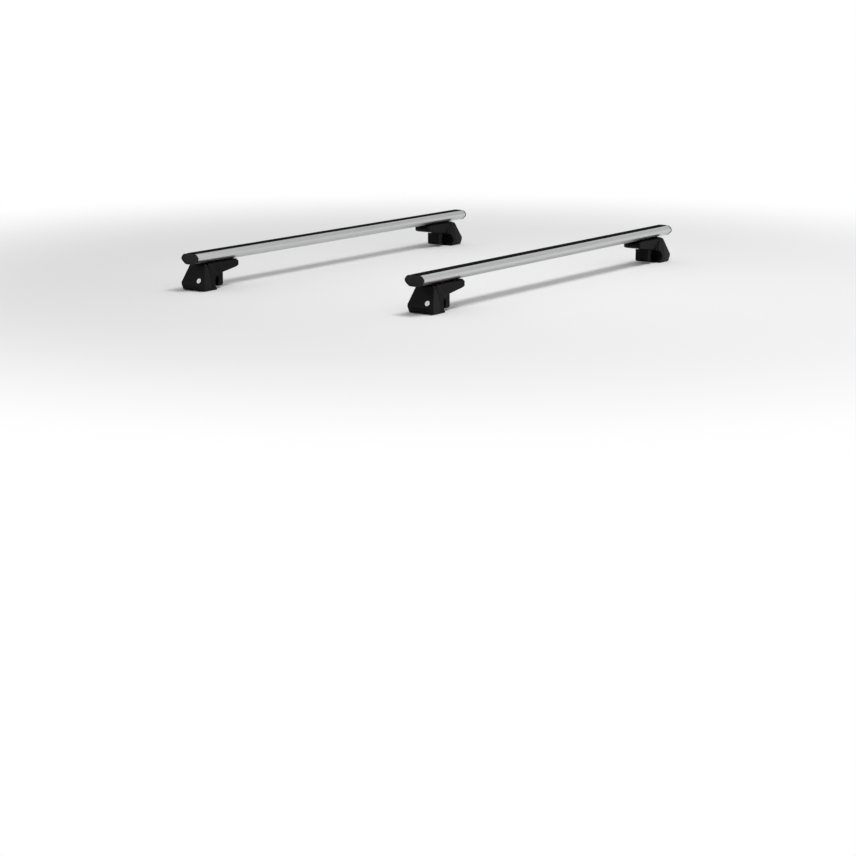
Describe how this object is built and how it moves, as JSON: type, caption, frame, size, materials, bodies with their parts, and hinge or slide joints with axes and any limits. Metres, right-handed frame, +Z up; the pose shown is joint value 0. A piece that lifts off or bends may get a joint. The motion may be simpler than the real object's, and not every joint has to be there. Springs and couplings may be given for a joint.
{
  "type": "pair of roof crossbars",
  "caption": "Pair of aero-section aluminium roof crossbars with rubber top strips, each on two lockable black feet that clamp round side rails.",
  "frame": {"origin": "middle of the pair, at the lowest faces of the feet", "axes": "+X along the bars, -Y towards the front bar, +Z up"},
  "size_m": [1.27, 0.79, 0.1],
  "materials": {
    "aluminium": "satin anodised",
    "rubber": "matt",
    "black_plastic": "fine grained",
    "steel": "zinc plated",
    "lock_metal": "satin chrome"
  },
  "bodies": {
    "bars": {"front_bar_extrusion": "aluminium", "front_bar_top_strip": "rubber", "front_bar_right_cap": "black_plastic", "front_bar_left_cap": "black_plastic", "rear_bar_extrusion": "aluminium", "rear_bar_top_strip": "rubber", "rear_bar_right_cap": "black_plastic", "rear_bar_left_cap": "black_plastic"},
    "front_right_foot": {"front_right_foot_body": "black_plastic", "front_right_hinge_pin": "steel", "front_right_rail_pad": "rubber", "front_right_bar_pad": "rubber", "front_right_slide_key": "steel", "front_right_key_screws": "steel"},
    "front_right_cover_flap": {"front_right_lock_cover": "black_plastic"},
    "front_right_lock_barrel": {"front_right_lock_plug": "lock_metal"},
    "front_right_claw_slider": {"front_right_claw": "black_plastic", "front_right_claw_pad": "rubber", "front_right_claw_nut": "steel"},
    "front_right_bolt_screw": {"front_right_tension_bolt": "steel"},
    "front_left_foot": {"front_left_foot_body": "black_plastic", "front_left_hinge_pin": "steel", "front_left_rail_pad": "rubber", "front_left_bar_pad": "rubber", "front_left_slide_key": "steel", "front_left_key_screws": "steel"},
    "front_left_cover_flap": {"front_left_lock_cover": "black_plastic"},
    "front_left_lock_barrel": {"front_left_lock_plug": "lock_metal"},
    "front_left_claw_slider": {"front_left_claw": "black_plastic", "front_left_claw_pad": "rubber", "front_left_claw_nut": "steel"},
    "front_left_bolt_screw": {"front_left_tension_bolt": "steel"},
    "rear_right_foot": {"rear_right_foot_body": "black_plastic", "rear_right_hinge_pin": "steel", "rear_right_rail_pad": "rubber", "rear_right_bar_pad": "rubber", "rear_right_slide_key": "steel", "rear_right_key_screws": "steel"},
    "rear_right_cover_flap": {"rear_right_lock_cover": "black_plastic"},
    "rear_right_lock_barrel": {"rear_right_lock_plug": "lock_metal"},
    "rear_right_claw_slider": {"rear_right_claw": "black_plastic", "rear_right_claw_pad": "rubber", "rear_right_claw_nut": "steel"},
    "rear_right_bolt_screw": {"rear_right_tension_bolt": "steel"},
    "rear_left_foot": {"rear_left_foot_body": "black_plastic", "rear_left_hinge_pin": "steel", "rear_left_rail_pad": "rubber", "rear_left_bar_pad": "rubber", "rear_left_slide_key": "steel", "rear_left_key_screws": "steel"},
    "rear_left_cover_flap": {"rear_left_lock_cover": "black_plastic"},
    "rear_left_lock_barrel": {"rear_left_lock_plug": "lock_metal"},
    "rear_left_claw_slider": {"rear_left_claw": "black_plastic", "rear_left_claw_pad": "rubber", "rear_left_claw_nut": "steel"},
    "rear_left_bolt_screw": {"rear_left_tension_bolt": "steel"}
  },
  "joints": [
    {"name": "front_right_foot_slide", "type": "slide", "parent": "bars", "child": "front_right_foot", "axis": [1, 0, 0], "range_m": [-0.015, 0.2]},
    {"name": "front_right_cover_hinge", "type": "hinge", "parent": "front_right_foot", "child": "front_right_cover_flap", "pos_m": [-0.584, -0.356, 0.062], "axis": [0, 1, 0], "range_deg": [0, 60]},
    {"name": "front_right_lock_turn", "type": "hinge", "parent": "front_right_cover_flap", "child": "front_right_lock_barrel", "pos_m": [-0.60781, -0.376, 0.028], "axis": [-0.8988, 0, 0.4384], "range_deg": [0, 90]},
    {"name": "front_right_claw_slide", "type": "slide", "parent": "front_right_foot", "child": "front_right_claw_slider", "axis": [1, 0, 0], "range_m": [0, 0.016]},
    {"name": "front_right_bolt_turn", "type": "hinge", "parent": "front_right_foot", "child": "front_right_bolt_screw", "pos_m": [-0.577, -0.356, 0.054], "axis": [-1, 0, 0], "range_deg": [0, 5796]},
    {"name": "front_left_foot_slide", "type": "slide", "parent": "bars", "child": "front_left_foot", "axis": [-1, 0, 0], "range_m": [-0.015, 0.2]},
    {"name": "front_left_cover_hinge", "type": "hinge", "parent": "front_left_foot", "child": "front_left_cover_flap", "pos_m": [0.584, -0.356, 0.062], "axis": [0, -1, 0], "range_deg": [0, 60]},
    {"name": "front_left_lock_turn", "type": "hinge", "parent": "front_left_cover_flap", "child": "front_left_lock_barrel", "pos_m": [0.60781, -0.336, 0.028], "axis": [0.8988, 0, 0.4384], "range_deg": [0, 90]},
    {"name": "front_left_claw_slide", "type": "slide", "parent": "front_left_foot", "child": "front_left_claw_slider", "axis": [-1, 0, 0], "range_m": [0, 0.016]},
    {"name": "front_left_bolt_turn", "type": "hinge", "parent": "front_left_foot", "child": "front_left_bolt_screw", "pos_m": [0.577, -0.356, 0.054], "axis": [1, 0, 0], "range_deg": [0, 5796]},
    {"name": "rear_right_foot_slide", "type": "slide", "parent": "bars", "child": "rear_right_foot", "axis": [1, 0, 0], "range_m": [-0.015, 0.2]},
    {"name": "rear_right_cover_hinge", "type": "hinge", "parent": "rear_right_foot", "child": "rear_right_cover_flap", "pos_m": [-0.6, 0.356, 0.062], "axis": [0, 1, 0], "range_deg": [0, 60]},
    {"name": "rear_right_lock_turn", "type": "hinge", "parent": "rear_right_cover_flap", "child": "rear_right_lock_barrel", "pos_m": [-0.62382, 0.336, 0.028], "axis": [-0.8988, 0, 0.4384], "range_deg": [0, 90]},
    {"name": "rear_right_claw_slide", "type": "slide", "parent": "rear_right_foot", "child": "rear_right_claw_slider", "axis": [1, 0, 0], "range_m": [0, 0.016]},
    {"name": "rear_right_bolt_turn", "type": "hinge", "parent": "rear_right_foot", "child": "rear_right_bolt_screw", "pos_m": [-0.593, 0.356, 0.054], "axis": [-1, 0, 0], "range_deg": [0, 5796]},
    {"name": "rear_left_foot_slide", "type": "slide", "parent": "bars", "child": "rear_left_foot", "axis": [-1, 0, 0], "range_m": [-0.015, 0.2]},
    {"name": "rear_left_cover_hinge", "type": "hinge", "parent": "rear_left_foot", "child": "rear_left_cover_flap", "pos_m": [0.572, 0.356, 0.062], "axis": [0, -1, 0], "range_deg": [0, 60]},
    {"name": "rear_left_lock_turn", "type": "hinge", "parent": "rear_left_cover_flap", "child": "rear_left_lock_barrel", "pos_m": [0.59581, 0.376, 0.028], "axis": [0.8988, 0, 0.4384], "range_deg": [0, 90]},
    {"name": "rear_left_claw_slide", "type": "slide", "parent": "rear_left_foot", "child": "rear_left_claw_slider", "axis": [-1, 0, 0], "range_m": [0, 0.016]},
    {"name": "rear_left_bolt_turn", "type": "hinge", "parent": "rear_left_foot", "child": "rear_left_bolt_screw", "pos_m": [0.565, 0.356, 0.054], "axis": [1, 0, 0], "range_deg": [0, 5796]}
  ],
  "couplings": [
    {"joint": "front_right_bolt_turn", "follows": "front_right_claw_slide", "rad_per_m": 6283.2},
    {"joint": "front_left_bolt_turn", "follows": "front_left_claw_slide", "rad_per_m": 6283.2},
    {"joint": "rear_right_bolt_turn", "follows": "rear_right_claw_slide", "rad_per_m": 6283.2},
    {"joint": "rear_left_bolt_turn", "follows": "rear_left_claw_slide", "rad_per_m": 6283.2}
  ]
}
